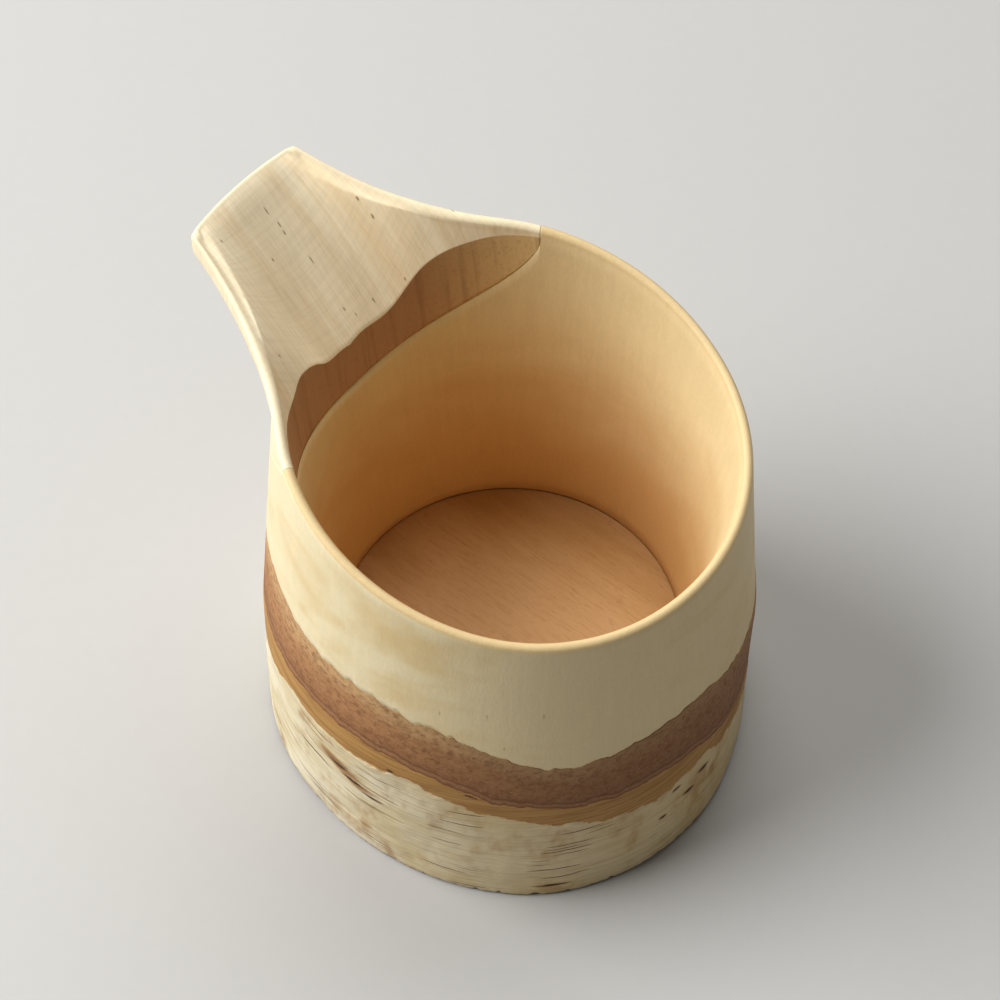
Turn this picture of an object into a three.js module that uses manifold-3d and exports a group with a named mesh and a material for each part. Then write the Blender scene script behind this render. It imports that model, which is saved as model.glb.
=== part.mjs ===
// A wooden drinking cup made from a hollowed length of birch log. A separate handle block
// is let into the back of the wall, and a separate disc closes the bottom.
// Millimetres, +Z up, handle toward +X, origin under the middle of the cup's outline.
import * as THREE from "three";
import { mergeVertices } from "three/addons/utils/BufferGeometryUtils.js";
import Module from "manifold-3d";

const wasm = await Module();
wasm.setup();

// Driving dimensions
const rimRadius = 38.6; // outside of the lip
const carvedTaper = 5.3; // the outside widens by this much below the lip
const cutHeight = 33; // where the carved taper starts, above untouched bark
const cutRadius = rimRadius + carvedTaper;
const footSwell = 0.7; // the log widens by this much more toward its foot
const footRadius = cutRadius + footSwell;
const footChamfer = 0.8; // broken edge round the foot
const rimHeight = 80.9; // lip at the cup's axis
const rimSlope = 0.27; // the lip rises toward the handle, mm per mm
const lipWidth = 1.7; // top of the lip round the cup
const lipDrop = 0.5; // inner edge of the lip below its crest

const floorHeight = 16.2; // top of the bottom disc
const insideTaper = 5.4; // the inside narrows by this much toward the floor
const discThickness = 10;
const grooveDepth = 3; // how far the disc's edge goes into the wall
const discLand = 2; // flat on the disc's bevelled edge
const clearance = 0.3; // between any two pieces

const barkThickness = 1.7; // both layers and the gap between them
const innerBarkThickness = 0.8;
const barkLift = 0.4; // the bark ends this far above the foot

const handleLength = 20.4; // from the lip to the handle's end
const tipHalfWidth = 12.8;
const tipCrown = 1.1; // the handle's end is this much proud at its middle
const tipThickness = 5;
const sideBand = 2.9; // flat top along the handle's sides
const flareLeaves = THREE.MathUtils.degToRad(49); // bearing where the handle leaves the lip
const flareEase = 9.2; // how long the flare keeps the lip's direction
const tipEase = 15; // how long it keeps the tip's direction
const tipSplay = THREE.MathUtils.degToRad(12.7); // the tip's sides open by this much
const undersideNarrowing = 0.04; // how fast the handle narrows below its top, per mm
const undersideSweep = 1.6; // the underside runs in to the wall in a hollow curve

const scoopDepth = 15.6; // middle of the scoop below the lip, where it meets the wall
const scoopCrossPower = 1.77; // roundness of the scoop from side to side
const scoopEase = 0.15; // the scoop leaves the tip gently
const scoopRipple = 1; // tool marks leave a shallow furrow on each side of the scoop's middle
const rippleCentre = 9.3; // the furrow's distance from the middle
const ripplePitch = 14.6; // furrow to furrow
const scoopEnd = THREE.MathUtils.degToRad(62); // bearing where the scoop has died out
const scoopFade = 0.2; // it dies out over this angle, in radians

const jointDepth = 28; // the handle's joint below the lip, at its middle
const jointRise = 40; // the joint's cut runs up and out past the lip
const jointEnd = THREE.MathUtils.degToRad(59.5); // bearing where the joint comes up through the lip
const seamInside = { bend: 1.7, drop: 0.6 }; // the seam is a rounded U on the inside
const seamOutside = { bend: 1.3, drop: 1 }; // and closer to a V on the outside

// Facets
const tipSteps = 5;
const flareSteps = 15;
const flareBunching = 1.4; // closer together near the tip
const aroundSteps = 22;
const topSteps = 8; // across the lip or scoop
const undersideDepths = [29, 24, 20, 16, 13, 10, 8, 6.4, 2.5, 0.8]; // besides the driving depths
const turnedSteps = 96;

const rimPlane = (x) => rimHeight + rimSlope * x;
const insideLip = rimRadius - lipWidth;
const floorRadius = insideLip - insideTaper;
const woodRadius = cutRadius - barkThickness; // the log without its bark
const handleReach = rimRadius + handleLength; // cup's axis to the handle's end
const barkTop = rimPlane(rimRadius) - jointDepth; // under the handle, above where the taper ends the bark
const tipCorner = Math.atan2(tipHalfWidth, handleReach - tipCrown);

// Plan of the handle's side: from the lip's circle to the corner of the tip
function flareCurve() {
  const start = new THREE.Vector2(Math.cos(flareLeaves), Math.sin(flareLeaves)).multiplyScalar(rimRadius);
  const end = new THREE.Vector2(handleReach - tipCrown, tipHalfWidth);
  const alongLip = new THREE.Vector2(Math.sin(flareLeaves), -Math.cos(flareLeaves));
  const alongTip = new THREE.Vector2(Math.cos(tipSplay), -Math.sin(tipSplay));
  const first = start.clone().addScaledVector(alongLip, flareEase);
  const second = end.clone().addScaledVector(alongTip, -tipEase);
  return new THREE.CubicBezierCurve(start, first, second, end);
}

const flarePoints = flareCurve().getPoints(80);

// Value at x in a list of points that is sorted by key, by straight lines between them
function readOff(points, key, value, x) {
  const next = points.findIndex((point) => key(point) > x);
  if (next < 1) return value(next === 0 ? points[0] : points[points.length - 1]);
  const [before, after] = [points[next - 1], points[next]];
  const share = (x - key(before)) / (key(after) - key(before));
  return THREE.MathUtils.lerp(value(before), value(after), share);
}

// Radius of the handle's plan at a bearing from the handle's axis
function planRadius(bearing) {
  const angle = Math.abs(bearing);
  if (angle >= flareLeaves) return rimRadius;
  if (angle <= tipCorner) {
    const across = Math.tan(angle) / Math.tan(tipCorner);
    return (handleReach - tipCrown * across * across) / Math.cos(angle);
  }
  return readOff(flarePoints, (p) => -Math.atan2(p.y, p.x), (p) => p.length(), -angle);
}

// Half the plan's width at a distance along the handle
function planHalfWidth(along) {
  if (along < flarePoints[0].x) return Math.sqrt(Math.max(rimRadius ** 2 - along ** 2, 0));
  return readOff(flarePoints, (p) => p.x, (p) => p.y, along);
}

// Flat top along the handle's sides, narrowing to the cup's lip where the handle leaves it
function bandWidth(along) {
  const [narrow, full] = [insideLip * 0.65, insideLip * 1.25];
  const share = THREE.MathUtils.smoothstep(along, narrow, full);
  return THREE.MathUtils.lerp(lipWidth, sideBand, share);
}

// Depth of the scooped top face below the lip's plane
function scoop(x, y) {
  const bearing = Math.abs(Math.atan2(y, x));
  if (bearing >= scoopEnd) return lipDrop;
  const fall = Math.max(handleReach - x, 0) / (handleReach - insideLip);
  const eased = (Math.hypot(fall, scoopEase) - scoopEase) / (Math.hypot(1, scoopEase) - scoopEase);
  const across = Math.min(Math.abs(y) / (planHalfWidth(x) - bandWidth(x)), 1);
  const wave = Math.cos(((Math.abs(y) - rippleCentre) / ripplePitch) * 2 * Math.PI);
  const bowl = scoopDepth * eased * (1 - across ** scoopCrossPower);
  const ripple = scoopRipple * wave * (1 - across ** 6) * Math.min(fall, 1);
  const fade = THREE.MathUtils.smoothstep(scoopEnd - bearing, 0, scoopFade);
  return lipDrop + Math.max(bowl + ripple, 0) * fade;
}

// Outside of the wall and of the handle's underside, at a depth below the lip's plane
function outside(bearing, depth) {
  const carved = rimPlane(rimRadius * Math.cos(bearing)) - cutHeight;
  const wall = THREE.MathUtils.lerp(rimRadius, cutRadius, Math.min(depth / carved, 1));
  const under = THREE.MathUtils.clamp((depth - tipThickness) / (jointDepth - tipThickness), 0, 1);
  const narrowed = Math.abs(bearing) * (1 + undersideNarrowing * Math.max(depth - tipThickness, 0));
  const reach = Math.max(planRadius(narrowed) - wall, 0) * (1 - under) ** undersideSweep;
  return onPlane(bearing, wall + reach, depth);
}

// Inside of the wall, at a height
function insideRadius(bearing, height) {
  const lip = rimPlane(insideLip * Math.cos(bearing));
  return THREE.MathUtils.mapLinear(height, floorHeight, lip, floorRadius, insideLip);
}

function onPlane(bearing, radius, depth) {
  return [radius, rimPlane(radius * Math.cos(bearing)) - depth];
}

// Where the scoop meets the inside of the wall
function mouth(bearing) {
  let radius = insideLip;
  let height = 0;
  for (let turn = 0; turn < 6; turn += 1) {
    const x = radius * Math.cos(bearing);
    height = rimPlane(x) - scoop(x, radius * Math.sin(bearing)) - lipDrop;
    radius = insideRadius(bearing, height);
  }
  return [radius, height];
}

// Outline of the cup at one bearing, as [radius, height] pairs: up the outside, over the lip,
// down the scoop and the inside, round the disc's groove and back to the foot
function section(bearing) {
  const outline = planRadius(bearing);
  const band = Math.abs(bearing) < tipCorner ? lipDrop : bandWidth(outline * Math.cos(bearing));
  const inner = outline - band;
  const rows = [
    [footRadius - footChamfer, 0],
    [footRadius, footChamfer],
    [cutRadius, cutHeight],
  ];
  const depths = [...undersideDepths, jointDepth, tipThickness].sort((a, b) => b - a);
  for (const depth of depths) rows.push(outside(bearing, depth));
  // The lip is broken at its outer edge, highest two fifths of the way in, and falls inward
  rows.push(onPlane(bearing, outline - 0.15 * lipWidth, lipDrop / 2));
  rows.push(onPlane(bearing, outline - 0.4 * band, 0));
  rows.push(onPlane(bearing, inner, lipDrop));
  const [mouthRadius, mouthHeight] = mouth(bearing);
  for (let step = 1; step < topSteps; step += 1) {
    const radius = THREE.MathUtils.lerp(inner, mouthRadius, step / topSteps);
    const x = radius * Math.cos(bearing);
    const low = scoop(x, radius * Math.sin(bearing)) + (lipDrop * step) / topSteps;
    rows.push([radius, rimPlane(x) - low]);
  }
  rows.push([mouthRadius, mouthHeight]);
  for (const share of [0.3, 0.65]) {
    const height = THREE.MathUtils.lerp(mouthHeight, floorHeight, share);
    rows.push([insideRadius(bearing, height), height]);
  }
  return rows.concat(groove());
}

// The wall's side of the joint with the bottom disc, from the floor down to the foot
function groove() {
  const bottom = floorHeight - discThickness;
  const middle = (floorHeight + bottom) / 2;
  const deep = floorRadius + grooveDepth;
  return [
    [floorRadius, floorHeight],
    [deep, middle + discLand / 2],
    [deep, middle - discLand / 2],
    [floorRadius, bottom],
    [floorRadius + 0.5, 0],
  ];
}

// Bearings round the cup, close together where the handle is
function bearings() {
  const half = [];
  for (let step = 0; step < tipSteps; step += 1) half.push((tipCorner * step) / tipSteps);
  for (let step = 0; step < flareSteps; step += 1) {
    half.push(THREE.MathUtils.lerp(tipCorner, scoopEnd, (step / flareSteps) ** flareBunching));
  }
  for (let step = 0; step <= aroundSteps; step += 1) {
    half.push(THREE.MathUtils.lerp(scoopEnd, Math.PI, step / aroundSteps));
  }
  const other = half.slice(1, -1).reverse().map((angle) => 2 * Math.PI - angle);
  return half.concat(other);
}

// The whole cup in one, turned and then drawn out into the handle
function cupForm() {
  const turns = bearings();
  const rows = section(0).length;
  const blank = Array.from({ length: rows + 1 }, (_, row) => new THREE.Vector2(1, row));
  const form = new THREE.LatheGeometry(blank, turns.length);
  const place = form.attributes.position;
  turns.concat(turns[0]).forEach((bearing, turn) => {
    const signed = bearing > Math.PI ? bearing - 2 * Math.PI : bearing;
    const outline = section(signed);
    outline.concat([outline[0]]).forEach(([radius, height], row) => {
      place.setXYZ(turn * (rows + 1) + row, radius * Math.cos(signed), radius * Math.sin(signed), height);
    });
  });
  return toSolid(form);
}

// Depth of the joint below the lip's plane, on the wall's inside and on its outside
function jointDepths(bearing) {
  const angle = Math.abs(bearing) / jointEnd;
  if (angle >= 1) return [1 - angle, 1 - angle].map((past) => past * jointRise);
  return [seamInside, seamOutside].map(({ bend, drop }) => jointDepth * (1 - angle ** bend) ** drop);
}

// Radius and height of the joint at one bearing, from inside the cup to past the handle's end
function jointLine(bearing) {
  const [within, without] = jointDepths(bearing);
  const inner = insideRadius(bearing, rimPlane(insideLip * Math.cos(bearing)) - within) + clearance;
  const outer = outside(bearing, Math.max(without, 0))[0] - clearance;
  const past = handleReach * 1.3; // clear of everything
  const line = [[inner / 2, within], [inner, within], [(inner + outer) / 2, (within + without) / 2]];
  line.push([outer, without], [(outer + past) / 2, without], [past, without]);
  return line.map(([radius, depth]) => onPlane(bearing, radius, depth));
}

// Everything above the joint with the handle, moved down by a gap
function aboveJoint(gap) {
  const lineSteps = jointLine(0).length - 1;
  const block = new THREE.BoxGeometry(1, 1, 1, lineSteps, turnedSteps, 1);
  const place = block.attributes.position;
  const widest = jointEnd * 1.2; // runs on past the lip
  for (let point = 0; point < place.count; point += 1) {
    const bearing = widest * Math.sin(place.getY(point) * Math.PI);
    const [radius, height] = jointLine(bearing)[Math.round((place.getX(point) + 0.5) * lineSteps)];
    const level = place.getZ(point) < 0 ? height - gap : rimPlane(handleReach) + jointRise;
    place.setXYZ(point, radius * Math.cos(bearing), radius * Math.sin(bearing), level);
  }
  return toSolid(block);
}

function ring(inner, outer, bottom, top) {
  const corners = [[inner, bottom], [outer, bottom], [outer, top], [inner, top], [inner, bottom]];
  return turned(corners);
}

function turned(corners) {
  const profile = corners.map(([radius, height]) => new THREE.Vector2(radius, height));
  const shape = new THREE.LatheGeometry(profile, turnedSteps);
  shape.rotateX(Math.PI / 2);
  return toSolid(shape);
}

function toSolid(geometry) {
  geometry.deleteAttribute("normal");
  geometry.deleteAttribute("uv");
  const merged = mergeVertices(geometry);
  const mesh = { numProp: 3, vertProperties: merged.attributes.position.array };
  mesh.triVerts = Uint32Array.from(merged.index.array);
  return new wasm.Manifold(new wasm.Mesh(mesh));
}

function toMesh(name, solid, color, roughness) {
  const result = solid.getMesh();
  const geometry = new THREE.BufferGeometry();
  geometry.setAttribute("position", new THREE.BufferAttribute(result.vertProperties, 3));
  geometry.setIndex(new THREE.BufferAttribute(result.triVerts, 1));
  const mesh = new THREE.Mesh(geometry, new THREE.MeshStandardMaterial({ color, roughness, metalness: 0 }));
  mesh.name = name;
  return mesh;
}

// The hollowed log: its own wood, without bark, cut away for the handle
function bodyWall(form) {
  const [under, over] = [-1, rimPlane(rimRadius) + 1];
  const log = turned([[0, under], [woodRadius, under], [woodRadius, over], [0, over]]);
  return toMesh("body_wall", form.subtract(aboveJoint(clearance / 2)).intersect(log), 0xe0d3ae, 0.55);
}

// Brown living bark round the wood, bevelled by the taper
function innerBark(form) {
  const inner = woodRadius + clearance;
  const layer = ring(inner, inner + innerBarkThickness, barkLift, barkTop);
  return toMesh("inner_bark", form.intersect(layer), 0x9a6b4a, 0.75);
}

// Corky outer bark with its white skin
function outerBark(form) {
  const inner = woodRadius + innerBarkThickness + 2 * clearance;
  const layer = ring(inner, footRadius + 1, barkLift, barkTop);
  return toMesh("outer_bark", form.intersect(layer), 0xcdbb94, 0.8);
}

// The handle: one block, scooped on top, its inner end part of the cup's wall
function handleBlock(form) {
  return toMesh("handle_block", form.intersect(aboveJoint(-clearance / 2)), 0xd9c49a, 0.5);
}

// Disc with a double bevel round its edge, held in the wall's groove
function bottomDisc() {
  const bottom = floorHeight - discThickness;
  const middle = (floorHeight + bottom) / 2;
  const face = floorRadius - clearance;
  const edge = face + grooveDepth;
  const corners = [[0, bottom], [face, bottom], [edge, middle - discLand / 2]];
  corners.push([edge, middle + discLand / 2], [face, floorHeight], [0, floorHeight]);
  return toMesh("bottom_disc", turned(corners), 0xb98a58, 0.5);
}

const form = cupForm();
const cup = new THREE.Group();
cup.add(bodyWall(form), innerBark(form), outerBark(form), handleBlock(form), bottomDisc());
cup.position.x = (footRadius - handleReach) / 2;

export default cup;
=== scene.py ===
import bmesh
import bpy
import math
from bisect import bisect_right
from mathutils import Color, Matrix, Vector, noise


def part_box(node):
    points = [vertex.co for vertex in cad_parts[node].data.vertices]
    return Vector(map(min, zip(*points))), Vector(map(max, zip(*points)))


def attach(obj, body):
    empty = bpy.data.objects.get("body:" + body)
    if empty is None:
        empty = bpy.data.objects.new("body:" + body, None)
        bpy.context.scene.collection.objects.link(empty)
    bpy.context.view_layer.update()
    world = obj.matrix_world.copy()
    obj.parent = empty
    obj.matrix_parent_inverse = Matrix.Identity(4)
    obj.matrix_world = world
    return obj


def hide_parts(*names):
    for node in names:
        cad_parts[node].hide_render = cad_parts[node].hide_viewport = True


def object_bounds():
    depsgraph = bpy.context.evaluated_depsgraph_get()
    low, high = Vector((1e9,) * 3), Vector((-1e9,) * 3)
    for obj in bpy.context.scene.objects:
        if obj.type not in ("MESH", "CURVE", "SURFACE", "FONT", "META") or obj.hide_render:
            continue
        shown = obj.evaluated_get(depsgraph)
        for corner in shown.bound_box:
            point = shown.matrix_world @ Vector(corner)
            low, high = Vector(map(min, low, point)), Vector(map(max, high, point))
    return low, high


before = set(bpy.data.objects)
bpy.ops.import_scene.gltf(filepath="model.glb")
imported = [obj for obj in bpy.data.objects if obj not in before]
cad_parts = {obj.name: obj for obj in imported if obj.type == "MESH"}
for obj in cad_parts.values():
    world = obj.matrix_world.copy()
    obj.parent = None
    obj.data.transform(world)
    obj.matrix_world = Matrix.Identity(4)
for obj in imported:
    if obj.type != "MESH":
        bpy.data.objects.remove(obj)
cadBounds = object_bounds()
mm = 0.001

discLow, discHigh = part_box("bottom_disc")
barkLow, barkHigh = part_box("outer_bark")
axisX = (discLow.x + discHigh.x) / 2  # the cup's own axis stands here
handleReach = (cadBounds[1][0] - axisX) / mm
floorHeight = discHigh.z / mm
footRadius = (barkHigh.y - barkLow.y) / 2 / mm

# sizes in mm, angles in radians
cup = {
    "rimRadius": 38.6,
    "rimHeight": 80.9,  # at the cup's axis
    "rimSlope": 0.27,  # the lip rises toward the handle
    "lipWidth": 1.7,
    "lipDrop": 0.5,
    "cutHeight": 33,  # the carved taper starts here
    "cutRadius": 43.9,
    "floorRadius": 31.5,
    "sag": 0.55,  # the inside is a little narrower than a straight line just below the lip
}
insideLip = cup["rimRadius"] - cup["lipWidth"]

handle = {
    "tipHalfWidth": 12.8,
    "tipCrown": 1.1,
    "tipThickness": 5,
    "sideBand": 2.9,
    "flareLeaves": math.radians(49),
    "flareEase": 9.2,
    "tipEase": 15,
    "tipSplay": math.radians(12.7),
    "narrowing": 0.04,
    "sweep": 1.6,  # the underside runs in to the wall in a hollow curve
    "edgeThickness": 1.0,  # thinner and more hollow where the flare leaves the lip
    "edgeSweep": 7,
    "cornerRound": 0.7,
    "cornerRun": 230,  # how fast the side's line is carried on past the tip's corner
    "bandStarts": 0.65,  # the lip widens into the side band over this part of the inside radius
    "bandGrows": 0.6,
    "jointDepth": 28,
    "jointEnd": math.radians(59.5),
    "jointInside": (1.7, 0.6),  # curves of the joint's line, within and without
    "jointOutside": 1.3,
    "joinGap": 0.03,
}

scoop = {
    "depth": 15.6,
    "crossPower": 1.77,
    "ease": 0.15,
    "ripple": 1.0,
    "rippleCentre": 9.3,
    "ripplePitch": 14.6,
    "end": math.radians(62),
    # worked unevenly round the cup: (bearing, share of the depth)
    "shares": [(0, 1.0), (7, 0.99), (11, 0.92), (15, 0.79), (19, 0.77), (25, 0.9), (31, 1.16), (40, 1.2),
               (62, 1.1), (180, 1), (300, 0.72), (309, 0.72), (316, 0.92), (324, 0.9), (332, 0.98), (345, 1)],
    "tipRise": 0.7,
    "tipRiseStarts": 42,
}

# heights of the bark's layers round the log: (bearing from the handle in degrees, height)
layers = {
    "woodEdge": [(20, 50), (54, 55), (80, 52.8), (99, 52), (120, 47.5), (138, 40.9), (153, 40.2),
                 (176, 41.2), (195, 37.4), (225, 36), (262, 37), (310, 42)],
    "corkEdge": [(10, 35), (58, 37), (83, 38.4), (110, 36.4), (128, 31.3), (150, 28.2), (174, 26.8),
                 (200, 20.2), (235, 19), (280, 22), (330, 29)],
    "whiteEdge": [(20, 25), (53, 28), (68, 32.2), (88, 31.8), (106, 33), (123, 28), (148, 22.6),
                  (165, 19.9), (179, 20.9), (197, 15.6), (235, 14), (285, 18), (335, 22)],
    "footBulge": [(0, 0), (50, 0.1), (82, -1.0), (110, -0.2), (140, 1.5), (178, 1.1), (204, -0.5),
                  (250, -0.8), (310, 0.3)],
    "lipBulge": [(0, 0), (45, 0), (75, 0.1), (105, 0.15), (130, 0.45), (152, 0.6), (172, 0.9), (190, 1.4),
                 (205, 1.8), (220, 1.9), (236, 1.6), (252, 1.0), (270, 0.4), (292, 0)],
}


def roundLog(points, degrees):
    # smooth closed curve through (bearing, value) pairs
    count = len(points)
    degrees %= 360
    after = next((k for k, point in enumerate(points) if point[0] > degrees), 0)
    near = [points[(after + step) % count] for step in (-2, -1, 0, 1)]
    span = (near[2][0] - near[1][0]) % 360
    t = ((degrees - near[1][0]) % 360) / span
    before = (near[1][0] - near[0][0]) % 360
    beyond = (near[3][0] - near[2][0]) % 360
    rise0 = (near[2][1] - near[0][1]) / (span + before) * span
    rise1 = (near[3][1] - near[1][1]) / (span + beyond) * span
    a = near[1][1]
    b = near[2][1]
    return ((2 * t**3 - 3 * t**2 + 1) * a + (t**3 - 2 * t**2 + t) * rise0
            + (3 * t**2 - 2 * t**3) * b + (t**3 - t**2) * rise1)


def lerp(a, b, t):
    return a + (b - a) * t


def smooth(t):
    t = min(max(t, 0), 1)
    return t * t * (3 - 2 * t)


def rimPlane(x):
    lift = smooth((x - scoop["tipRiseStarts"]) / (handleReach - scoop["tipRiseStarts"]))
    return cup["rimHeight"] + cup["rimSlope"] * x + lift * scoop["tipRise"]


def onPlane(bearing, radius, depth):
    return radius, rimPlane(radius * math.cos(bearing)) - depth


def flareOutline(steps=160):
    # side of the handle, from the lip's circle round the tip's corner to the end
    leave = handle["flareLeaves"]
    start = Vector((math.cos(leave), math.sin(leave))) * cup["rimRadius"]
    end = Vector((handleReach - handle["tipCrown"], handle["tipHalfWidth"]))
    first = start + Vector((math.sin(leave), -math.cos(leave))) * handle["flareEase"]
    splay = handle["tipSplay"]
    second = end - Vector((math.cos(splay), -math.sin(splay))) * handle["tipEase"]
    points = []
    for step in range(steps + 1):
        t = step / steps
        points.append(start * (1 - t) ** 3 + first * 3 * t * (1 - t) ** 2
                      + second * 3 * t * t * (1 - t) + end * t**3)
    return points


flare = flareOutline()
tipCorner = math.atan2(handle["tipHalfWidth"], handleReach - handle["tipCrown"])


def lipBulge(bearing):
    return roundLog(layers["lipBulge"], math.degrees(bearing))


def readOff(points, keys, value, x):
    after = min(max(bisect_right(keys, x), 1), len(keys) - 1)
    share = (x - keys[after - 1]) / (keys[after] - keys[after - 1])
    return lerp(value(points[after - 1]), value(points[after]), min(max(share, 0), 1))


flareByBearing = list(reversed(flare))
flareBearings = [math.atan2(p.y, p.x) for p in flareByBearing]
flareAlong = [p.x for p in flare]


def planRadius(bearing):
    angle = abs(bearing)
    if angle >= handle["flareLeaves"]:
        return cup["rimRadius"] + lipBulge(bearing)
    side = readOff(flareByBearing, flareBearings, lambda p: p.length, angle)
    across = math.tan(min(angle, 1.2 * tipCorner)) / math.tan(tipCorner)
    end = (handleReach - handle["tipCrown"] * across**2) / math.cos(angle)
    if angle < tipCorner * 0.8:
        return end
    if angle < tipCorner:
        side = flareByBearing[0].length + (tipCorner - angle) * handle["cornerRun"]
    soft = handle["cornerRound"]  # rounds the corner where side and end meet
    near = max(soft - abs(side - end), 0) / soft
    return min(side, end) - near * near * soft * 0.25


def planHalfWidth(along):
    if along < flare[0].x:
        return math.sqrt(max(cup["rimRadius"] ** 2 - along**2, 0))
    return readOff(flare, flareAlong, lambda p: p.y, along)


def bandWidth(along):
    share = smooth((along / insideLip - handle["bandStarts"]) / handle["bandGrows"])
    return lerp(cup["lipWidth"], handle["sideBand"], share)


def scoopDepth(x, y):
    bearing = abs(math.atan2(y, x))
    if bearing >= scoop["end"]:
        return cup["lipDrop"]
    ease = scoop["ease"]
    fall = max(handleReach - x, 0) / (handleReach - insideLip)
    eased = (math.hypot(fall, ease) - ease) / (math.hypot(1, ease) - ease)
    across = min(abs(y) / (planHalfWidth(x) - bandWidth(x)), 1)
    wave = math.cos((abs(y) - scoop["rippleCentre"]) / scoop["ripplePitch"] * 2 * math.pi)
    share = roundLog(scoop["shares"], math.degrees(math.atan2(y, x)))
    bowl = scoop["depth"] * share * eased * (1 - across ** scoop["crossPower"])
    ripple = scoop["ripple"] * wave * (1 - across**6) * min(fall, 1)
    return cup["lipDrop"] + max(bowl + ripple, 0) * smooth((scoop["end"] - bearing) / 0.2)


def outside(bearing, depth):
    carved = rimPlane(cup["rimRadius"] * math.cos(bearing)) - cup["cutHeight"]
    wall = lerp(cup["rimRadius"] + lipBulge(bearing), cup["cutRadius"], min(depth / carved, 1))
    aside = smooth(abs(bearing) / handle["flareLeaves"] * 1.3 - 0.3)
    thick = lerp(handle["tipThickness"], handle["edgeThickness"], aside)
    sweep = lerp(handle["sweep"], handle["edgeSweep"], aside)
    under = min(max((depth - thick) / (handle["jointDepth"] - thick), 0), 1)
    reach = 0
    if under < 1 and abs(bearing) < handle["flareLeaves"]:
        narrowed = abs(bearing) * (1 + handle["narrowing"] * max(depth - thick, 0))
        reach = max(planRadius(narrowed) - wall, 0) * (1 - under) ** sweep
    return onPlane(bearing, wall + reach, depth)


def outsideAtHeight(bearing, height):
    # the log's outside at a height, for the bark and the wood above it
    lip = rimPlane(cup["rimRadius"] * math.cos(bearing))
    bulge = roundLog(layers["footBulge"], math.degrees(bearing))
    if height < cup["cutHeight"]:
        low = 1 - height / cup["cutHeight"]
        return lerp(cup["cutRadius"], footRadius, low) + bulge * low**0.7
    share = (height - cup["cutHeight"]) / (lip - cup["cutHeight"])
    return lerp(cup["cutRadius"], cup["rimRadius"] + lipBulge(bearing), share)


def insideRadius(bearing, height):
    lip = rimPlane(insideLip * math.cos(bearing))
    share = (height - floorHeight) / (lip - floorHeight)
    sag = cup["sag"] * 4 * max(share, 0) ** 3 * (1 - min(share, 1))
    return lerp(cup["floorRadius"], insideLip + lipBulge(bearing) * max(share, 0), share) - sag


def mouth(bearing):
    radius = insideLip
    for turn in range(6):
        x = radius * math.cos(bearing)
        height = rimPlane(x) - scoopDepth(x, radius * math.sin(bearing)) - cup["lipDrop"]
        radius = insideRadius(bearing, height)
    return radius, height


def jointDepths(bearing):
    # depth of the joint between wall and handle, on the wall's inside and outside
    angle = min(abs(bearing) / handle["jointEnd"], 0.9999)
    deep = handle["jointDepth"]
    first, second = handle["jointInside"]
    return deep * (1 - angle**first) ** second, deep * (1 - angle ** handle["jointOutside"])


def drawnOut(name, sections, bearings, whole=True):
    # a plain tube is spun, then each of its rings is drawn out to its section of (radius, height, mark)
    rowCount = len(sections[0])
    steps = len(bearings) if whole else len(bearings) - 1
    full = 2 * math.pi if whole else math.pi
    form = bmesh.new()
    column = [form.verts.new((1, 0, row)) for row in range(rowCount)]
    edges = [form.edges.new(pair) for pair in zip(column, column[1:] + column[:1])]
    bmesh.ops.spin(form, geom=column + edges, cent=(0, 0, 0), axis=(0, 0, 1), angle=full,
                   steps=steps, use_merge=whole, use_duplicate=False)
    markLayer = form.verts.layers.float.new("mark")
    for point in form.verts:
        turn = round(math.atan2(point.co.y, point.co.x) % (2 * math.pi) / full * steps) % len(bearings)
        radius, height, point[markLayer] = sections[turn][round(point.co.z)]
        bearing = bearings[turn]
        point.co = (axisX + radius * mm * math.cos(bearing), radius * mm * math.sin(bearing), height * mm)
    if not whole:
        ends = [edge for edge in form.edges if edge.is_boundary]
        bmesh.ops.holes_fill(form, edges=ends, sides=0)
        bmesh.ops.triangulate(form, faces=[face for face in form.faces if len(face.verts) > 4])
    bmesh.ops.remove_doubles(form, verts=form.verts, dist=1e-7)
    return finished(name, form)


def finished(name, form):
    bmesh.ops.recalc_face_normals(form, faces=form.faces)
    for face in form.faces:
        face.smooth = True
    mesh = bpy.data.meshes.new(name)
    form.to_mesh(mesh)
    form.free()
    piece = bpy.data.objects.new(name, mesh)
    bpy.context.collection.objects.link(piece)
    return piece


def spread(first, last, count):
    return [lerp(first, last, step / count) for step in range(count)]


disc = {"gap": 0.06, "edgeRound": 0.2, "grooveDepth": 3, "land": 2}
discBottom = discLow.z / mm


def makeDisc():
    form = bmesh.new()
    middle = (floorHeight + discBottom) / 2
    face = cup["floorRadius"] - disc["gap"]
    deep = face + disc["grooveDepth"]
    outline = [(0, discBottom), (face, discBottom), (deep, middle - disc["land"] / 2),
               (deep, middle + disc["land"] / 2), (face, floorHeight - disc["edgeRound"]),
               (face - disc["edgeRound"], floorHeight), (face * 0.6, floorHeight), (0, floorHeight)]
    points = [form.verts.new((radius * mm, 0, height * mm)) for radius, height in outline]
    edges = [form.edges.new(pair) for pair in zip(points, points[1:])]
    bmesh.ops.spin(form, geom=points + edges, cent=(0, 0, 0), axis=(0, 0, 1),
                   angle=2 * math.pi, steps=160, use_merge=True, use_duplicate=False)
    bmesh.ops.remove_doubles(form, verts=form.verts, dist=1e-6)
    bmesh.ops.translate(form, vec=(axisX, 0, 0), verts=form.verts)
    return finished("floor_disc", form)


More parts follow.
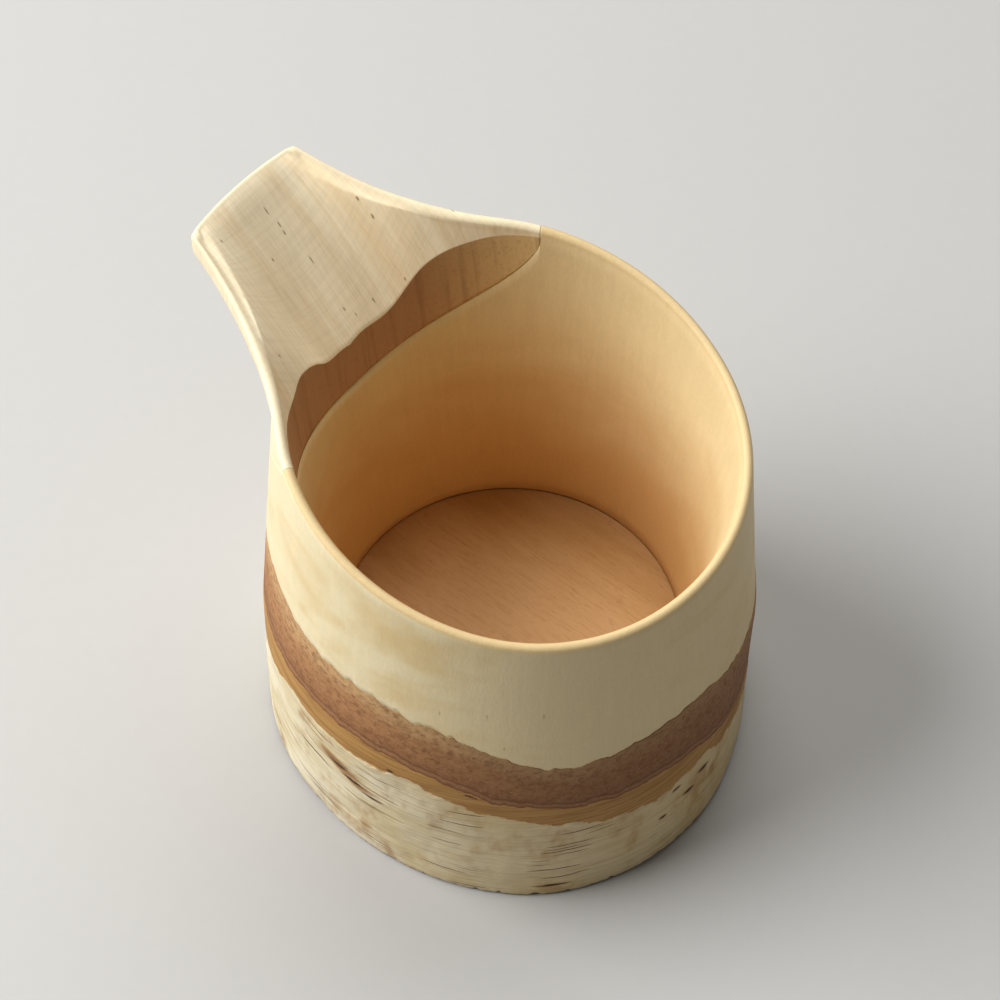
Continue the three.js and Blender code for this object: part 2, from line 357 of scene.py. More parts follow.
wall = {"turnsAway": 220, "turnsAtJoint": 110, "barkStep": 0.35, "underBark": 42.6, "topRows": 26,
        "insideRows": 22, "barkRows": 8, "jointShare": 0.985, "jointSlit": 0.0006}
# the lip from its outer edge: share of its width inward, depth in mm
lipRound = [(0.06, 0.33), (0.2, 0.1), (0.42, 0), (0.66, 0.06), (0.88, 0.28)]


def ripple(bearing, size, reach, seed):
    # small natural waver of an edge round the log
    spot = Vector((math.cos(bearing) * reach, math.sin(bearing) * reach, seed))
    return size * noise.fractal(spot, 0.7, 2.1, 4)


def woodEdge(bearing):
    return roundLog(layers["woodEdge"], math.degrees(bearing)) + ripple(bearing, 0.75, 15, 3.1)


def corkEdge(bearing):
    return roundLog(layers["corkEdge"], math.degrees(bearing)) + ripple(bearing, 0.6, 12, 7.7)


def whiteEdge(bearing):
    return roundLog(layers["whiteEdge"], math.degrees(bearing)) + ripple(bearing, 0.9, 13, 12.4)


def wallSection(bearing):
    # up under the bark, over the lip, down the inside to the disc's groove; mark is -1 outside,
    # 0 on the lip and rises to 1 at the floor
    end = handle["jointEnd"] * wall["jointShare"]
    joined = abs(bearing) < end
    within, without = jointDepths(bearing) if joined else (0, 0)
    gap = handle["joinGap"] if joined else 0
    edge = woodEdge(bearing) - 0.3
    rows = [(42, 0, -1)]
    for step in range(wall["barkRows"]):
        height = edge * step / (wall["barkRows"] - 1)
        radius = min(outsideAtHeight(bearing, height) - wall["barkStep"], wall["underBark"])
        rows.append((radius, height + 0.02, -1))
    low = rimPlane(cup["rimRadius"] * math.cos(bearing)) - edge - 0.35
    top = max(without + gap, 0.7)
    for step in range(wall["topRows"]):
        rows.append((*outside(bearing, lerp(low, top, step / (wall["topRows"] - 1))), -1))
    if joined:
        inner = insideRadius(bearing, rimPlane(insideLip * math.cos(bearing)) - within - gap)
        outer = rows[-1][0]
        for share in (0.1, 0.3, 0.5, 0.7, 0.9, 1):
            mark = 0.15 if share > 0.85 else -0.2
            rows.append((*onPlane(bearing, lerp(outer, inner, share), lerp(top, within + gap, share)), mark))
    else:
        lip = cup["rimRadius"] + lipBulge(bearing)
        for inward, depth in lipRound:
            rows.append((*onPlane(bearing, lip - inward * cup["lipWidth"], depth), 0))
        rows.append((*onPlane(bearing, lip - cup["lipWidth"], 0.62), 0.01))
    start = rows[-1][1]
    deepest = rimPlane(insideLip * math.cos(bearing)) - floorHeight
    for step in range(1, wall["insideRows"]):
        height = lerp(start, floorHeight, step / (wall["insideRows"] - 1))
        mark = 1 - (height - floorHeight) / deepest
        rows.append((insideRadius(bearing, height), height, mark))
    middle = (floorHeight + discBottom) / 2
    deep = cup["floorRadius"] + disc["grooveDepth"]
    for radius, height in ((deep, middle + disc["land"] / 2), (deep, middle - disc["land"] / 2),
                           (cup["floorRadius"], discBottom), (cup["floorRadius"] + 0.5, 0)):
        rows.append((radius, height, 1))
    return rows


def makeWall():
    end = handle["jointEnd"] * wall["jointShare"]
    slit = wall["jointSlit"]
    half = spread(0, end - slit, wall["turnsAtJoint"]) + [end - slit, end + slit]
    half += spread(end + 0.004, math.pi, wall["turnsAway"]) + [math.pi]
    bearings = half + [-angle for angle in reversed(half[1:-1])]
    return drawnOut("log_wall", [wallSection(angle) for angle in bearings], bearings)


block = {"underRows": 22, "topRows": 40, "insideRows": 16, "jointRows": 5, "edgeDrop": 0.12,
         "tipTurns": 46, "sideTurns": 104, "jointShare": 0.9847}


def handleSection(bearing):
    # mark is -1 underneath and on the bands, 0 on the scooped top and 1 on the end grain inside
    within, without = jointDepths(bearing)
    within -= handle["joinGap"]
    without = max(without - handle["joinGap"], 0.75)
    outline = planRadius(bearing)
    corner = smooth((abs(bearing) - tipCorner * 0.86) / (tipCorner * 0.14))
    band = lerp(0.9, bandWidth(outline * math.cos(bearing)), corner)
    inner = outline - band
    rows = []
    for step in range(block["underRows"]):
        depth = lerp(without, 0.7, (step / (block["underRows"] - 1)) ** 0.8)
        rows.append((*outside(bearing, depth), -1))
    for inward, depth in lipRound:
        depth *= lerp(0.35, 1, corner)
        rows.append((*onPlane(bearing, outline - inward * min(band, 2.0), depth), -1))
    drop = block["edgeDrop"]
    innerDepth = lerp(0, cup["lipDrop"], corner) + drop
    rows.append((*onPlane(bearing, inner, innerDepth), lerp(0, -0.5, corner)))
    mouthRadius, mouthHeight = mouth(bearing)
    for step in range(1, block["topRows"]):
        share = step / block["topRows"]
        radius = lerp(inner, mouthRadius, share)
        x = radius * math.cos(bearing)
        low = scoopDepth(x, radius * math.sin(bearing)) + cup["lipDrop"] * share + drop
        low -= cup["lipDrop"] * (1 - corner) * (1 - smooth((inner - radius) / 5))
        rows.append((radius, rimPlane(x) - low, 0))
    rows.append((mouthRadius, mouthHeight - drop, 0))
    seam = rimPlane(insideLip * math.cos(bearing)) - within
    crisp = min(0.2, (mouthHeight - drop - seam) / 2)
    rows.append((insideRadius(bearing, mouthHeight - drop - crisp), mouthHeight - drop - crisp, 1))
    for step in range(1, block["insideRows"] + 1):
        height = lerp(mouthHeight - drop - crisp, seam, step / block["insideRows"])
        rows.append((insideRadius(bearing, height), height, 1))
    innerEnd, innerHeight, mark = rows[-1]
    outerEnd, outerHeight, mark = rows[0]
    for step in range(1, block["jointRows"]):
        share = step / block["jointRows"]
        rows.append((lerp(innerEnd, outerEnd, share), lerp(innerHeight, outerHeight, share), 1))
    return rows


def makeHandle():
    end = handle["jointEnd"] * block["jointShare"]
    pastTip = tipCorner * 1.15
    half = spread(0, pastTip, block["tipTurns"]) + spread(pastTip, end, block["sideTurns"]) + [end]
    bearings = [-angle for angle in reversed(half[1:])] + half
    return drawnOut("handle_wood", [handleSection(angle) for angle in bearings], bearings, whole=False)


bark = {"turns": 720, "rows": 44, "innerRows": 22, "bottom": 0.4, "proud": 0.12, "flake": 0.22}


def innerBarkSection(bearing):
    # mark runs from 0 at the cork to 1 at the wood
    top = woodEdge(bearing)
    low = corkEdge(bearing)
    under = low - 1.5
    base = bark["bottom"]
    inset = wall["barkStep"] - 0.05
    rows = [(outsideAtHeight(bearing, base) - inset, base, 0),
            (outsideAtHeight(bearing, base) - 0.2, base, 0),
            (outsideAtHeight(bearing, under - 1) - 0.2, under - 1, 0)]
    for step in range(bark["innerRows"]):
        height = lerp(under, top - 0.12, step / (bark["innerRows"] - 1))
        rows.append((outsideAtHeight(bearing, height) + 0.02, height, (height - low) / (top - low)))
    rows.append((outsideAtHeight(bearing, top) - 0.06, top, 1))
    rows.append((outsideAtHeight(bearing, top - 0.2) - inset, top - 0.2, 1))
    rows.append((outsideAtHeight(bearing, under) - inset, under, 0))
    return rows


def outerBarkSection(bearing):
    # mark is the height over the white skin's edge, in mm
    top = corkEdge(bearing)
    white = whiteEdge(bearing)
    ragged = bark["bottom"] + abs(ripple(bearing, 0.9, 22, 31.0)) ** 1.2
    inset = 0.16
    rows = [(outsideAtHeight(bearing, ragged) - inset, ragged, ragged - white)]
    for step in range(bark["rows"]):
        height = lerp(ragged, white - 0.25, step / (bark["rows"] - 1))
        low = min((height - ragged) / 0.8, 1)
        spot = Vector((math.cos(bearing) * 5, math.sin(bearing) * 5, height * 0.16))
        flake = bark["flake"] * noise.fractal(spot, 0.9, 2.0, 4)
        radius = outsideAtHeight(bearing, height) + (bark["proud"] + flake) * low
        rows.append((radius, height, height - white))
    for share in (0, 0.15, 0.4, 0.7, 1):
        height = lerp(white, top - 0.15, share)
        rows.append((outsideAtHeight(bearing, height) + 0.03, height, height - white))
    rows.append((outsideAtHeight(bearing, top) - 0.02, top, top - white))
    rows.append((outsideAtHeight(bearing, top - 0.4) - inset, top - 0.4, top - white))
    return rows


def makeBark(name, section):
    bearings = [2 * math.pi * turn / bark["turns"] for turn in range(bark["turns"])]
    return drawnOut(name, [section(angle) for angle in bearings], bearings)


print("making the disc")
floorDisc = makeDisc()
print("making the wall")
logWall = makeWall()
print("making the handle")
handleWood = makeHandle()
print("making the bark")
innerBark = makeBark("inner_bark_layer", innerBarkSection)
outerBark = makeBark("outer_bark_layer", outerBarkSection)

pieces = [(floorDisc, "bottom_disc", "disc_wood"), (logWall, "body_wall", "sapwood"),
          (handleWood, "handle_block", "handle_wood"), (innerBark, "inner_bark", "inner_bark"),
          (outerBark, "outer_bark", "outer_bark")]
for piece, node, slot in pieces:
    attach(piece, "root")
    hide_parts(node)


def add(tree, kind, inputs, **settings):
    node = tree.nodes.new("ShaderNode" + kind)
    for name, setting in settings.items():
        setattr(node, name, setting)
    for name, value in inputs.items():
        if isinstance(value, bpy.types.NodeSocket):
            tree.links.new(value, node.inputs[name])
        else:
            node.inputs[name].default_value = value
    return node


def tint(code):
    shades = [int(code[at:at + 2], 16) / 255 for at in (0, 2, 4)]
    return (*Color(shades).from_srgb_to_scene_linear(), 1)


def mix(tree, mask, first, second, how="MIX"):
    return add(tree, "Mix", {0: mask, 6: first, 7: second}, data_type="RGBA", blend_type=how).outputs[2]


def level(tree, value, low, high, bottom=0.0, top=1.0):
    return add(tree, "MapRange", {"Value": value, "From Min": low, "From Max": high, "To Min": bottom,
                                  "To Max": top}, interpolation_type="SMOOTHSTEP").outputs["Result"]


def maths(tree, what, first, second=0.0):
    return add(tree, "Math", {0: first, 1: second}, operation=what).outputs[0]


def dimmed(tree, colour, shade):
    grey = add(tree, "CombineColor", {0: shade, 1: shade, 2: shade}).outputs[0]
    return mix(tree, 1.0, colour, grey, "MULTIPLY")


def stretched(tree, vector, size):
    # space measured in cells of size (x, y, z) mm
    scale = [1 / (length * mm) for length in size]
    return add(tree, "Mapping", {"Vector": vector, "Scale": scale}).outputs[0]


def lengthways(tree, place):
    # from the handle (positive) to the far side of the cup, in metres
    return add(tree, "SeparateXYZ", {0: place}).outputs["X"]


def grained(tree, vector, size, detail=3, rough=0.55, warp=0.0):
    cells = stretched(tree, vector, size)
    return add(tree, "TexNoise", {"Vector": cells, "Scale": 1, "Detail": detail, "Roughness": rough,
                                  "Distortion": warp}).outputs[0]


def attribute(tree, name):
    return add(tree, "Attribute", {}, attribute_name=name).outputs["Fac"]


def newGroup(name, inputs, outputs):
    tree = bpy.data.node_groups.new(name, "ShaderNodeTree")
    for socket, kind in inputs:
        tree.interface.new_socket(socket, in_out="INPUT", socket_type=kind)
    for socket, kind in outputs:
        tree.interface.new_socket(socket, in_out="OUTPUT", socket_type=kind)
    return tree, tree.nodes.new("NodeGroupInput").outputs, tree.nodes.new("NodeGroupOutput").inputs


def placed(tree, group, **inputs):
    node = add(tree, "Group", {}, node_tree=group)
    for name, value in inputs.items():
        socket = node.inputs[name.capitalize()]
        if isinstance(value, bpy.types.NodeSocket):
            tree.links.new(value, socket)
        else:
            socket.default_value = value
    return node.outputs


def newMaterial(name, piece, **sockets):
    material = bpy.data.materials.new(name)
    material.use_nodes = True
    tree = material.node_tree
    shader = tree.nodes["Principled BSDF"]
    for socket, value in sockets.items():
        shader.inputs[socket.replace("_", " ")].default_value = value
    piece.data.materials.append(material)
    return tree, shader, add(tree, "TexCoord", {}).outputs["Object"]


def raised(tree, shader, height, distance):
    bump = add(tree, "Bump", {"Height": height, "Distance": distance * mm, "Strength": 1})
    tree.links.new(bump.outputs["Normal"], shader.inputs["Normal"])


def makeFlecks():
    # short dashes, one in some of the cells of a stretched space
    tree, given, out = newGroup("flecks", [("Space", "NodeSocketVector"), ("Share", "NodeSocketFloat"),
                                           ("Size", "NodeSocketFloat")], [("Mask", "NodeSocketFloat")])
    cells = add(tree, "TexVoronoi", {"Vector": given["Space"], "Scale": 1}).outputs
    chance = add(tree, "SeparateColor", {"Color": cells["Color"]}).outputs
    chosen = maths(tree, "LESS_THAN", chance[0], given["Share"])
    size = maths(tree, "MULTIPLY", level(tree, chance[1], 0, 1, 0.45, 1), given["Size"])
    near = level(tree, maths(tree, "SUBTRACT", size, cells["Distance"]), 0, 0.09)
    tree.links.new(maths(tree, "MULTIPLY", near, chosen), out["Mask"])
    return tree


def makeSpot():
    # one soft oval mark at a place
    tree, given, out = newGroup("spot", [("Place", "NodeSocketVector"), ("Centre", "NodeSocketVector"),
                                         ("Reach", "NodeSocketVector"), ("Ragged", "NodeSocketFloat")],
                                [("Mask", "NodeSocketFloat")])
    offset = {0: given["Place"], 1: given["Centre"]}
    fromCentre = add(tree, "VectorMath", offset, operation="SUBTRACT").outputs[0]
    oval = add(tree, "VectorMath", {0: fromCentre, 1: given["Reach"]}, operation="DIVIDE").outputs[0]
    far = add(tree, "VectorMath", {0: oval}, operation="LENGTH").outputs["Value"]
    waver = maths(tree, "MULTIPLY", grained(tree, given["Place"], (1.6, 1.6, 0.6)), given["Ragged"])
    tree.links.new(level(tree, maths(tree, "ADD", far, waver), 1.0, 0.45), out["Mask"])
    return tree


flecks = makeFlecks()
spot = makeSpot()


def onLog(degrees, height, out):
    # a place on the log's outside, in metres
    bearing = math.radians(degrees)
    radius = outsideAtHeight(bearing, height) + out
    return (axisX + radius * mm * math.cos(bearing), radius * mm * math.sin(bearing), height * mm)


sapwood = {
    "pale": tint("e8d9b1"),
    # cloud colour, also used as painted shade on the side away from the handle
    "cloudAndFarShade": tint("dabf88"),
    "lip": tint("d9bf8d"),
    "inside": tint("e5cf9e"),
    # painted shade: the inside's colour near the floor, darker than the wood, standing in for shade deep in
    # the cup
    "lowInsideShade": tint("cfa268"),
    "fleck": tint("9a7440"),
    "flecksAt": [(128, 47.5, 1.3), (124, 56, 2.0), (137, 56, 2.6), (113, 55, 1.6)],  # bearing, height, length
}


def makeSapwood(piece):
    tree, shader, place = newMaterial("sapwood", piece, Specular_IOR_Level=0.35)
    mark = attribute(tree, "mark")
    clouds = grained(tree, place, (26, 26, 14), 3, 0.6, 0.4)
    grain = grained(tree, place, (1.2, 1.2, 20), 4, 0.6)
    fine = grained(tree, place, (0.35, 0.35, 1.2), 2)
    outer = mix(tree, level(tree, clouds, 0.5, 0.78), sapwood["pale"], sapwood["cloudAndFarShade"])
    along = lengthways(tree, place)
    # painted shade: the side away from the handle is tinted toward the darker cloud colour, standing in for
    # shade on that side
    outer = mix(tree, level(tree, along, -0.01, -0.045, 0, 0.5), outer, sapwood["cloudAndFarShade"])
    outer = mix(tree, level(tree, mark, -1, 0), outer, sapwood["lip"])
    # painted shade: down the inside the colour darkens toward the floor, for the shade deep in the cup
    waver = maths(tree, "MULTIPLY", maths(tree, "SUBTRACT", clouds, 0.5), 0.5)
    depth = maths(tree, "ADD", mark, maths(tree, "MULTIPLY", waver, level(tree, mark, 0, 0.3)))
    within = mix(tree, level(tree, depth, 0.1, 0.9), sapwood["inside"], sapwood["lowInsideShade"])
    colour = mix(tree, level(tree, mark, 0.0, 0.03), outer, within)
    streak = level(tree, grain, 0.3, 0.75, 0.97, 1.02)
    speck = level(tree, fine, 0.25, 0.8, 0.97, 1.02)
    shade = maths(tree, "MULTIPLY", streak, speck)
    colour = dimmed(tree, colour, shade)
    dashes = placed(tree, flecks, space=stretched(tree, place, (1.3, 1.3, 8)), share=0.006, size=0.3)["Mask"]
    for degrees, height, length in sapwood["flecksAt"]:
        own = placed(tree, spot, place=place, centre=onLog(degrees, height, 0),
                     reach=(0.42 * mm, 0.42 * mm, length * mm), ragged=0.8)["Mask"]
        dashes = maths(tree, "MAXIMUM", dashes, own)
    colour = mix(tree, maths(tree, "MULTIPLY", dashes, 0.55), colour, sapwood["fleck"])
    tree.links.new(colour, shader.inputs["Base Color"])
    tree.links.new(level(tree, grain, 0.2, 0.8, 0.42, 0.56), shader.inputs["Roughness"])
    raised(tree, shader, maths(tree, "ADD", grain, fine), 0.03)


handleFinish = {
    "pale": tint("f6e7c6"),
    "streak": tint("e8d0a6"),
    "band": tint("ecdcb8"),
    "fleck": tint("7d4f28"),
    "endGrain": tint("b58a66"),
    "endGrainPale": tint("e2c48c"),
    "ringLine": tint("7d5233"),
    # along the handle from its end, across it, length, in mm
    "flecksAt": [(5.1, -1.2, 1.3), (7.4, -1.7, 0.8), (8.5, -1.6, 0.9), (17.4, -14, 0.8), (13.3, -2.8, 1.6),
                 (22.5, -7.8, 1.2), (10.1, 3.2, 0.6), (14.3, -13.8, 0.8), (25, -13.1, 0.6), (20.3, -2.6, 0.7),
                 (21.8, -3.8, 0.6), (23.4, 16.5, 0.6), (4.7, 9.3, 0.7)],
}


def makeHandleWood(piece):
    tree, shader, place = newMaterial("handle_wood", piece, Specular_IOR_Level=0.35)
    mark = attribute(tree, "mark")
    figure = grained(tree, place, (90, 4.5, 120), 3, 0.6)
    grain = grained(tree, place, (40, 0.7, 60), 4, 0.65)
    pores = grained(tree, place, (5, 0.3, 4), 2, 0.6)
    cross = grained(tree, place, (0.5, 12, 20), 2, 0.5)
    colour = mix(tree, level(tree, figure, 0.42, 0.78, 0, 0.8), handleFinish["pale"], handleFinish["streak"])
    colour = mix(tree, level(tree, grain, 0.45, 0.75, 0, 0.7), colour, handleFinish["streak"])
    colour = mix(tree, level(tree, mark, -0.2, -0.8, 0, 0.8), colour, handleFinish["band"])
    shade = maths(tree, "MULTIPLY", level(tree, pores, 0.25, 0.75, 0.94, 1.04),
                  level(tree, cross, 0.35, 0.6, 0.97, 1.02))
    colour = dimmed(tree, colour, shade)
    dashes = placed(tree, flecks, space=stretched(tree, place, (5, 0.8, 3)), share=0.006, size=0.26)["Mask"]
    for fromEnd, across, length in handleFinish["flecksAt"]:
        x = handleReach - fromEnd
        height = rimPlane(x) - scoopDepth(x, across)
        own = placed(tree, spot, place=place, centre=(axisX + x * mm, across * mm, height * mm),
                     reach=(length * mm, 0.3 * mm, 2 * mm), ragged=0.6)["Mask"]
        dashes = maths(tree, "MAXIMUM", dashes, own)
    colour = mix(tree, maths(tree, "MULTIPLY", dashes, 0.75), colour, handleFinish["fleck"])
    # cut across, the same wood is darker, with its year rings as upright lines
    rings = grained(tree, place, (60, 1.6, 40), 3, 0.6)
    mottle = grained(tree, place, (0.7, 0.7, 0.7), 4, 0.7)
    across = add(tree, "SeparateXYZ", {0: place}).outputs["Y"]
    paleEnd = level(tree, across, -12 * mm, -33 * mm)
    cut = mix(tree, paleEnd, handleFinish["endGrain"], handleFinish["endGrainPale"])
    cut = mix(tree, level(tree, rings, 0.5, 0.72, 0, 0.32), cut, handleFinish["ringLine"])
    cut = mix(tree, level(tree, mottle, 0.5, 0.75, 0, 0.35), cut, handleFinish["ringLine"])
    colour = mix(tree, level(tree, mark, 0.25, 0.75), colour, cut)
    tree.links.new(colour, shader.inputs["Base Color"])
    tree.links.new(level(tree, grain, 0.2, 0.8, 0.4, 0.55), shader.inputs["Roughness"])
    raised(tree, shader, maths(tree, "ADD", grain, pores), 0.035)


discFinish = {"warm": tint("d0a876"), "streak": tint("bb9059"), "pore": tint("9b6936")}


def makeDiscWood(piece):
    tree, shader, place = newMaterial("disc_wood", piece, Specular_IOR_Level=0.35)
    figure = grained(tree, place, (60, 14, 12), 3, 0.6, 0.2)
    grain = grained(tree, place, (6, 0.5, 2), 4, 0.65)
    pores = grained(tree, place, (2.0, 0.25, 1), 2, 0.6)
    colour = mix(tree, level(tree, figure, 0.4, 0.7), discFinish["warm"], discFinish["streak"])
    colour = mix(tree, level(tree, grain, 0.45, 0.75, 0, 0.6), colour, discFinish["streak"])
    colour = mix(tree, level(tree, pores, 0.55, 0.8, 0, 0.5), colour, discFinish["pore"])
    tree.links.new(colour, shader.inputs["Base Color"])
    tree.links.new(level(tree, grain, 0.2, 0.8, 0.45, 0.6), shader.inputs["Roughness"])
    raised(tree, shader, maths(tree, "ADD", grain, pores), 0.04)


innerFinish = {
    "upper": tint("c69e6e"),
    "middle": tint("ab7a4e"),
    "lower": tint("93633c"),
    "mottle": tint("724a2c"),
    "paleFibre": tint("cfa67c"),
    "edgeLine": tint("a5845a"),
    "darkLine": tint("6b442b"),
    # painted shade for the side away from the handle
    "farSideShade": tint("7c5233"),
}


def makeInnerBark(piece):
    tree, shader, place = newMaterial("inner_bark", piece, Specular_IOR_Level=0.25)
    mark = attribute(tree, "mark")
    clouds = grained(tree, place, (9, 9, 3.5), 3, 0.6)
    mottle = grained(tree, place, (1.5, 1.5, 1.1), 5, 0.75)
    grit = grained(tree, place, (0.5, 0.5, 0.4), 3, 0.7)
    level01 = maths(tree, "ADD", mark, maths(tree, "MULTIPLY", maths(tree, "SUBTRACT", clouds, 0.5), 0.35))
    colour = mix(tree, level(tree, level01, 0.1, 0.45), innerFinish["lower"], innerFinish["middle"])
    colour = mix(tree, level(tree, level01, 0.55, 0.95), colour, innerFinish["upper"])
    along = lengthways(tree, place)
    # painted shade: the side away from the handle is darkened, standing in for shade there
    colour = mix(tree, level(tree, along, -0.01, -0.05, 0, 0.6), colour, innerFinish["farSideShade"])
    colour = mix(tree, level(tree, mottle, 0.42, 0.7, 0, 0.8), colour, innerFinish["mottle"])
    colour = mix(tree, level(tree, grit, 0.5, 0.75, 0, 0.3), colour, innerFinish["paleFibre"])
    # lines along the lower edge and a thin one against the wood
    seam = maths(tree, "ADD", mark, maths(tree, "MULTIPLY", maths(tree, "SUBTRACT", clouds, 0.5), 0.1))
    paleLine = maths(tree, "MULTIPLY", level(tree, seam, 0.03, 0.06), level(tree, seam, 0.11, 0.08))
    colour = mix(tree, maths(tree, "MULTIPLY", paleLine, 0.12), colour, innerFinish["paleFibre"])
    darkLine = maths(tree, "MULTIPLY", level(tree, seam, 0.10, 0.12), level(tree, seam, 0.16, 0.13))
    darkLine = maths(tree, "MAXIMUM", darkLine, level(tree, mark, 0.03, 0.0))
    colour = mix(tree, maths(tree, "MULTIPLY", darkLine, 0.7), colour, innerFinish["darkLine"])
    colour = mix(tree, level(tree, mark, 0.92, 0.985, 0, 0.4), colour, innerFinish["edgeLine"])
    tree.links.new(colour, shader.inputs["Base Color"])
    tree.links.new(level(tree, mottle, 0.3, 0.7, 0.6, 0.8), shader.inputs["Roughness"])
    raised(tree, shader, maths(tree, "ADD", mottle, grit), 0.06)


outerFinish = {
    "cream": tint("e9dfc2"),
    "warmCream": tint("d6c496"),
    "blotch": tint("a67940"),
    # painted shade for the side away from the handle
    "farSideShade": tint("c7ae7c"),
    "striation": tint("bb9f70"),
    "pore": tint("5e3517"),
    "ochre": tint("b5894a"),
    "ochreDeep": tint("8f6230"),
    "eye": tint("3f2614"),
    "eyeRing": tint("97642f"),
    # bearing, height, half length round the log, half height, in mm
    "eyesAt": [(86, 23.6, 4.4, 0.9), (90.5, 21.6, 4.2, 0.7), (96, 19.8, 3.4, 0.35), (179, 17.4, 2.4, 0.9),
               (170, 18.6, 1.6, 0.7), (174, 14.6, 2.2, 0.7), (166, 12.6, 1.3, 0.6), (139, 3.6, 5.0, 0.5)],
    # the same, of the brown stains round the big eye
    "stainsAt": [(84.5, 24.6, 7.5, 3.0), (88, 23.2, 8.0, 2.4), (92.5, 21.2, 6.5, 1.5)],
    "ochreSpeck": (101.5, 33.6),
}


def barkSpot(tree, place, degrees, height, length, tall, ragged):
    # a mark on the white bark, longer round the log than it is tall
    return placed(tree, spot, place=place, centre=onLog(degrees, height, bark["proud"]),
                  reach=(length * mm, length * mm, tall * mm), ragged=ragged)["Mask"]


def makeOuterBark(piece):
    tree, shader, place = newMaterial("outer_bark", piece, Specular_IOR_Level=0.3)
    mark = attribute(tree, "mark")
    clouds = grained(tree, place, (20, 20, 16), 3, 0.6)
    blotches = grained(tree, place, (7, 7, 12), 3, 0.6)
    lines = grained(tree, place, (18, 18, 0.5), 4, 0.75)
    streaks = grained(tree, place, (8, 8, 1.6), 3, 0.65)
    colour = mix(tree, level(tree, clouds, 0.4, 0.7), outerFinish["cream"], outerFinish["warmCream"])
    along = lengthways(tree, place)
    # painted shade: the side away from the handle is darkened and warmed, standing in for shade there
    colour = mix(tree, level(tree, along, 0.0, -0.045, 0, 0.6), colour, outerFinish["farSideShade"])
    colour = mix(tree, level(tree, lines, 0.47, 0.7, 0, 0.7), colour, outerFinish["striation"])
    stain = maths(tree, "MULTIPLY", level(tree, blotches, 0.5, 0.75), level(tree, streaks, 0.3, 0.65, 0.4, 1))
    colour = mix(tree, maths(tree, "MULTIPLY", stain, 0.9), colour, outerFinish["blotch"])
    pores = placed(tree, flecks, space=stretched(tree, place, (15, 15, 0.45)), share=0.36, size=0.36)["Mask"]
    colour = mix(tree, maths(tree, "MULTIPLY", pores, 0.85), colour, outerFinish["pore"])
    eyes = 0.0
    rings = 0.0
    for degrees, height, length, tall in outerFinish["eyesAt"]:
        inner = barkSpot(tree, place, degrees, height, length, tall, 0.4)
        outer = barkSpot(tree, place, degrees, height, length * 1.4, tall * 1.7, 0.5)
        eyes = maths(tree, "MAXIMUM", eyes, inner)
        rings = maths(tree, "MAXIMUM", rings, outer)
    for degrees, height, length, tall in outerFinish["stainsAt"]:
        rings = maths(tree, "MAXIMUM", rings, barkSpot(tree, place, degrees, height, length, tall, 0.5))
    colour = mix(tree, maths(tree, "MULTIPLY", rings, 0.9), colour, outerFinish["eyeRing"])
    colour = mix(tree, eyes, colour, outerFinish["eye"])
    # cork shows above the edge of the white skin
    ragged = maths(tree, "MULTIPLY", maths(tree, "SUBTRACT", streaks, 0.5), 2.4)
    over = level(tree, maths(tree, "ADD", mark, ragged), -0.15, 0.15)
    cork = mix(tree, level(tree, lines, 0.4, 0.7), outerFinish["ochre"], outerFinish["ochreDeep"])
    speckAt = placed(tree, spot, place=place, centre=onLog(*outerFinish["ochreSpeck"], 0),
                     reach=(1.3 * mm, 1.3 * mm, 0.6 * mm), ragged=0.4)["Mask"]
    cork = mix(tree, speckAt, cork, outerFinish["eye"])
    colour = mix(tree, over, colour, cork)
    tree.links.new(colour, shader.inputs["Base Color"])
    tree.links.new(level(tree, lines, 0.3, 0.7, 0.55, 0.75), shader.inputs["Roughness"])
    dents = maths(tree, "MULTIPLY", maths(tree, "MAXIMUM", pores, eyes), 1.5)
    raised(tree, shader, maths(tree, "SUBTRACT", lines, dents), 0.12)


print("making the materials")
makeSapwood(logWall)
makeHandleWood(handleWood)
makeDiscWood(floorDisc)
makeInnerBark(innerBark)
makeOuterBark(outerBark)


studio = {
    "floorColour": (0.46, 0.455, 0.44, 1),
    "cameraBearing": 129.4,  # degrees round the cup from the handle
    "cameraRise": 56,
    "cameraDistance": 504.9,
    "lens": 101.63,
    "aimAside": -1.74,
    "aimAway": 12.69,
    "aimHeight": 40,
    "skyColour": (1, 0.92, 0.82, 1),
    "skyStrength": 0.15,
    # name, then left of the camera's view, back, up and width in metres, and watts
    "lights": [("window", 0.8, 0.04, 0.84, 0.9, 18.5), ("ceiling", -0.1, 0.6, 1.2, 0.9, 9.5)],
}
toCamera = math.radians(studio["cameraBearing"])
away = Vector((-math.cos(toCamera), -math.sin(toCamera), 0))
aside = Vector((-math.sin(toCamera), math.cos(toCamera), 0))


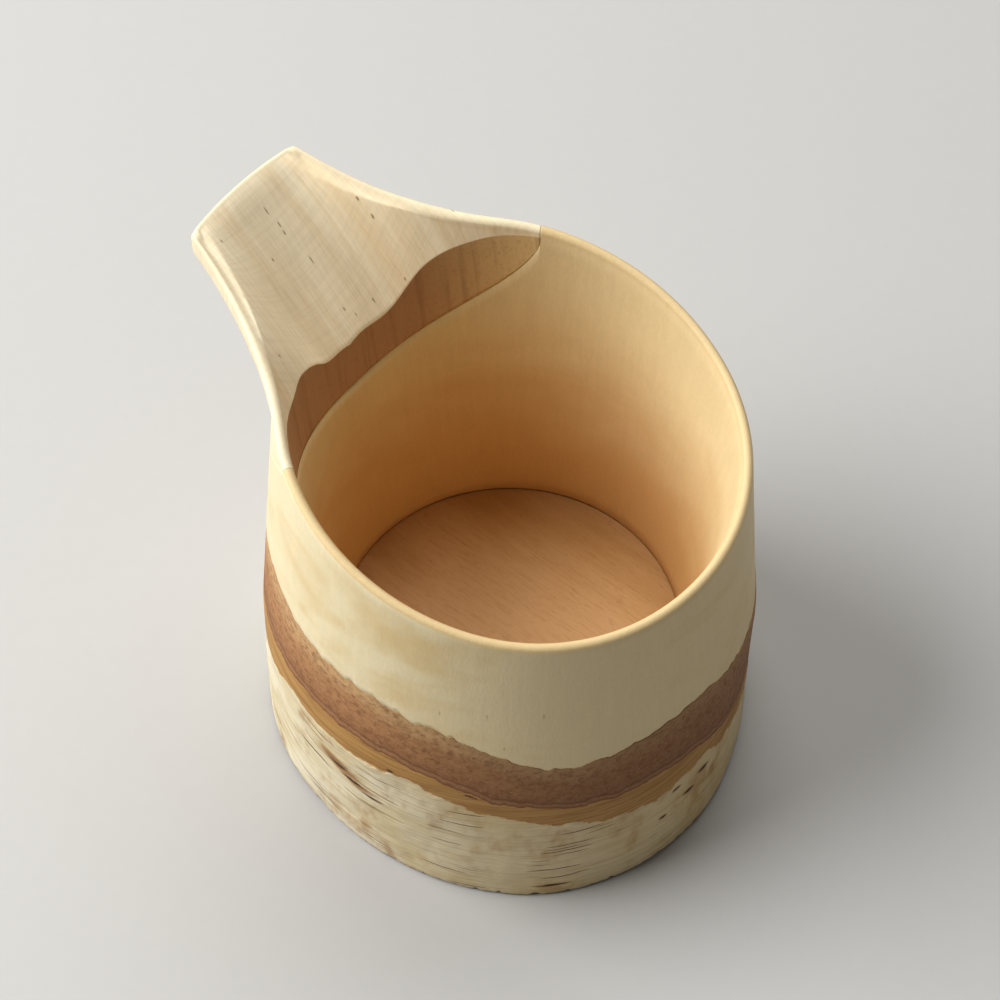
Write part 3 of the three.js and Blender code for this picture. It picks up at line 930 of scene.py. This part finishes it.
def makeCamera():
    rise = math.radians(studio["cameraRise"])
    aim = Vector((axisX, 0, studio["aimHeight"] * mm))
    aim += aside * studio["aimAside"] * mm + away * studio["aimAway"] * mm
    back = -away * math.cos(rise) + Vector((0, 0, math.sin(rise)))
    data = bpy.data.cameras.new("camera")
    data.lens = studio["lens"]
    data.sensor_width = 36
    data.clip_start = 0.01
    camera = bpy.data.objects.new("camera", data)
    camera.location = aim + back * studio["cameraDistance"] * mm
    camera.rotation_euler = back.to_track_quat("Z", "Y").to_euler()
    bpy.context.collection.objects.link(camera)
    bpy.context.scene.camera = camera


def makeFloor():
    form = bmesh.new()
    bmesh.ops.create_grid(form, x_segments=1, y_segments=1, size=3)
    mesh = bpy.data.meshes.new("studio_floor")
    form.to_mesh(mesh)
    form.free()
    ground = bpy.data.objects.new("studio_floor", mesh)
    bpy.context.collection.objects.link(ground)
    tree, shader, place = newMaterial("pale_floor", ground, Roughness=0.8)
    paper = grained(tree, place, (3, 3, 3), 4)
    shade = level(tree, paper, 0.2, 0.8, 0.985, 1.0)
    colour = mix(tree, shade, (0, 0, 0, 1), studio["floorColour"])
    tree.links.new(colour, shader.inputs["Base Color"])


def makeLight(name, left, back, up, size, power):
    data = bpy.data.lights.new(name, "AREA")
    data.shape = "DISK"
    data.size = size
    data.energy = power
    light = bpy.data.objects.new(name, data)
    light.location = -aside * left + away * back + Vector((0, 0, up))
    light.rotation_euler = (light.location - Vector((0, 0, 0.05))).to_track_quat("Z", "Y").to_euler()
    bpy.context.collection.objects.link(light)


def makeWorld():
    world = bpy.data.worlds.new("studio")
    world.use_nodes = True
    sky = world.node_tree.nodes["Background"]
    sky.inputs["Color"].default_value = studio["skyColour"]
    sky.inputs["Strength"].default_value = studio["skyStrength"]
    bpy.context.scene.world = world
    bpy.context.scene.view_settings.view_transform = "Standard"


print("placing the camera, floor and lights")
makeCamera()
makeFloor()
makeWorld()
for light in studio["lights"]:
    makeLight(*light)

bpy.context.view_layer.update()
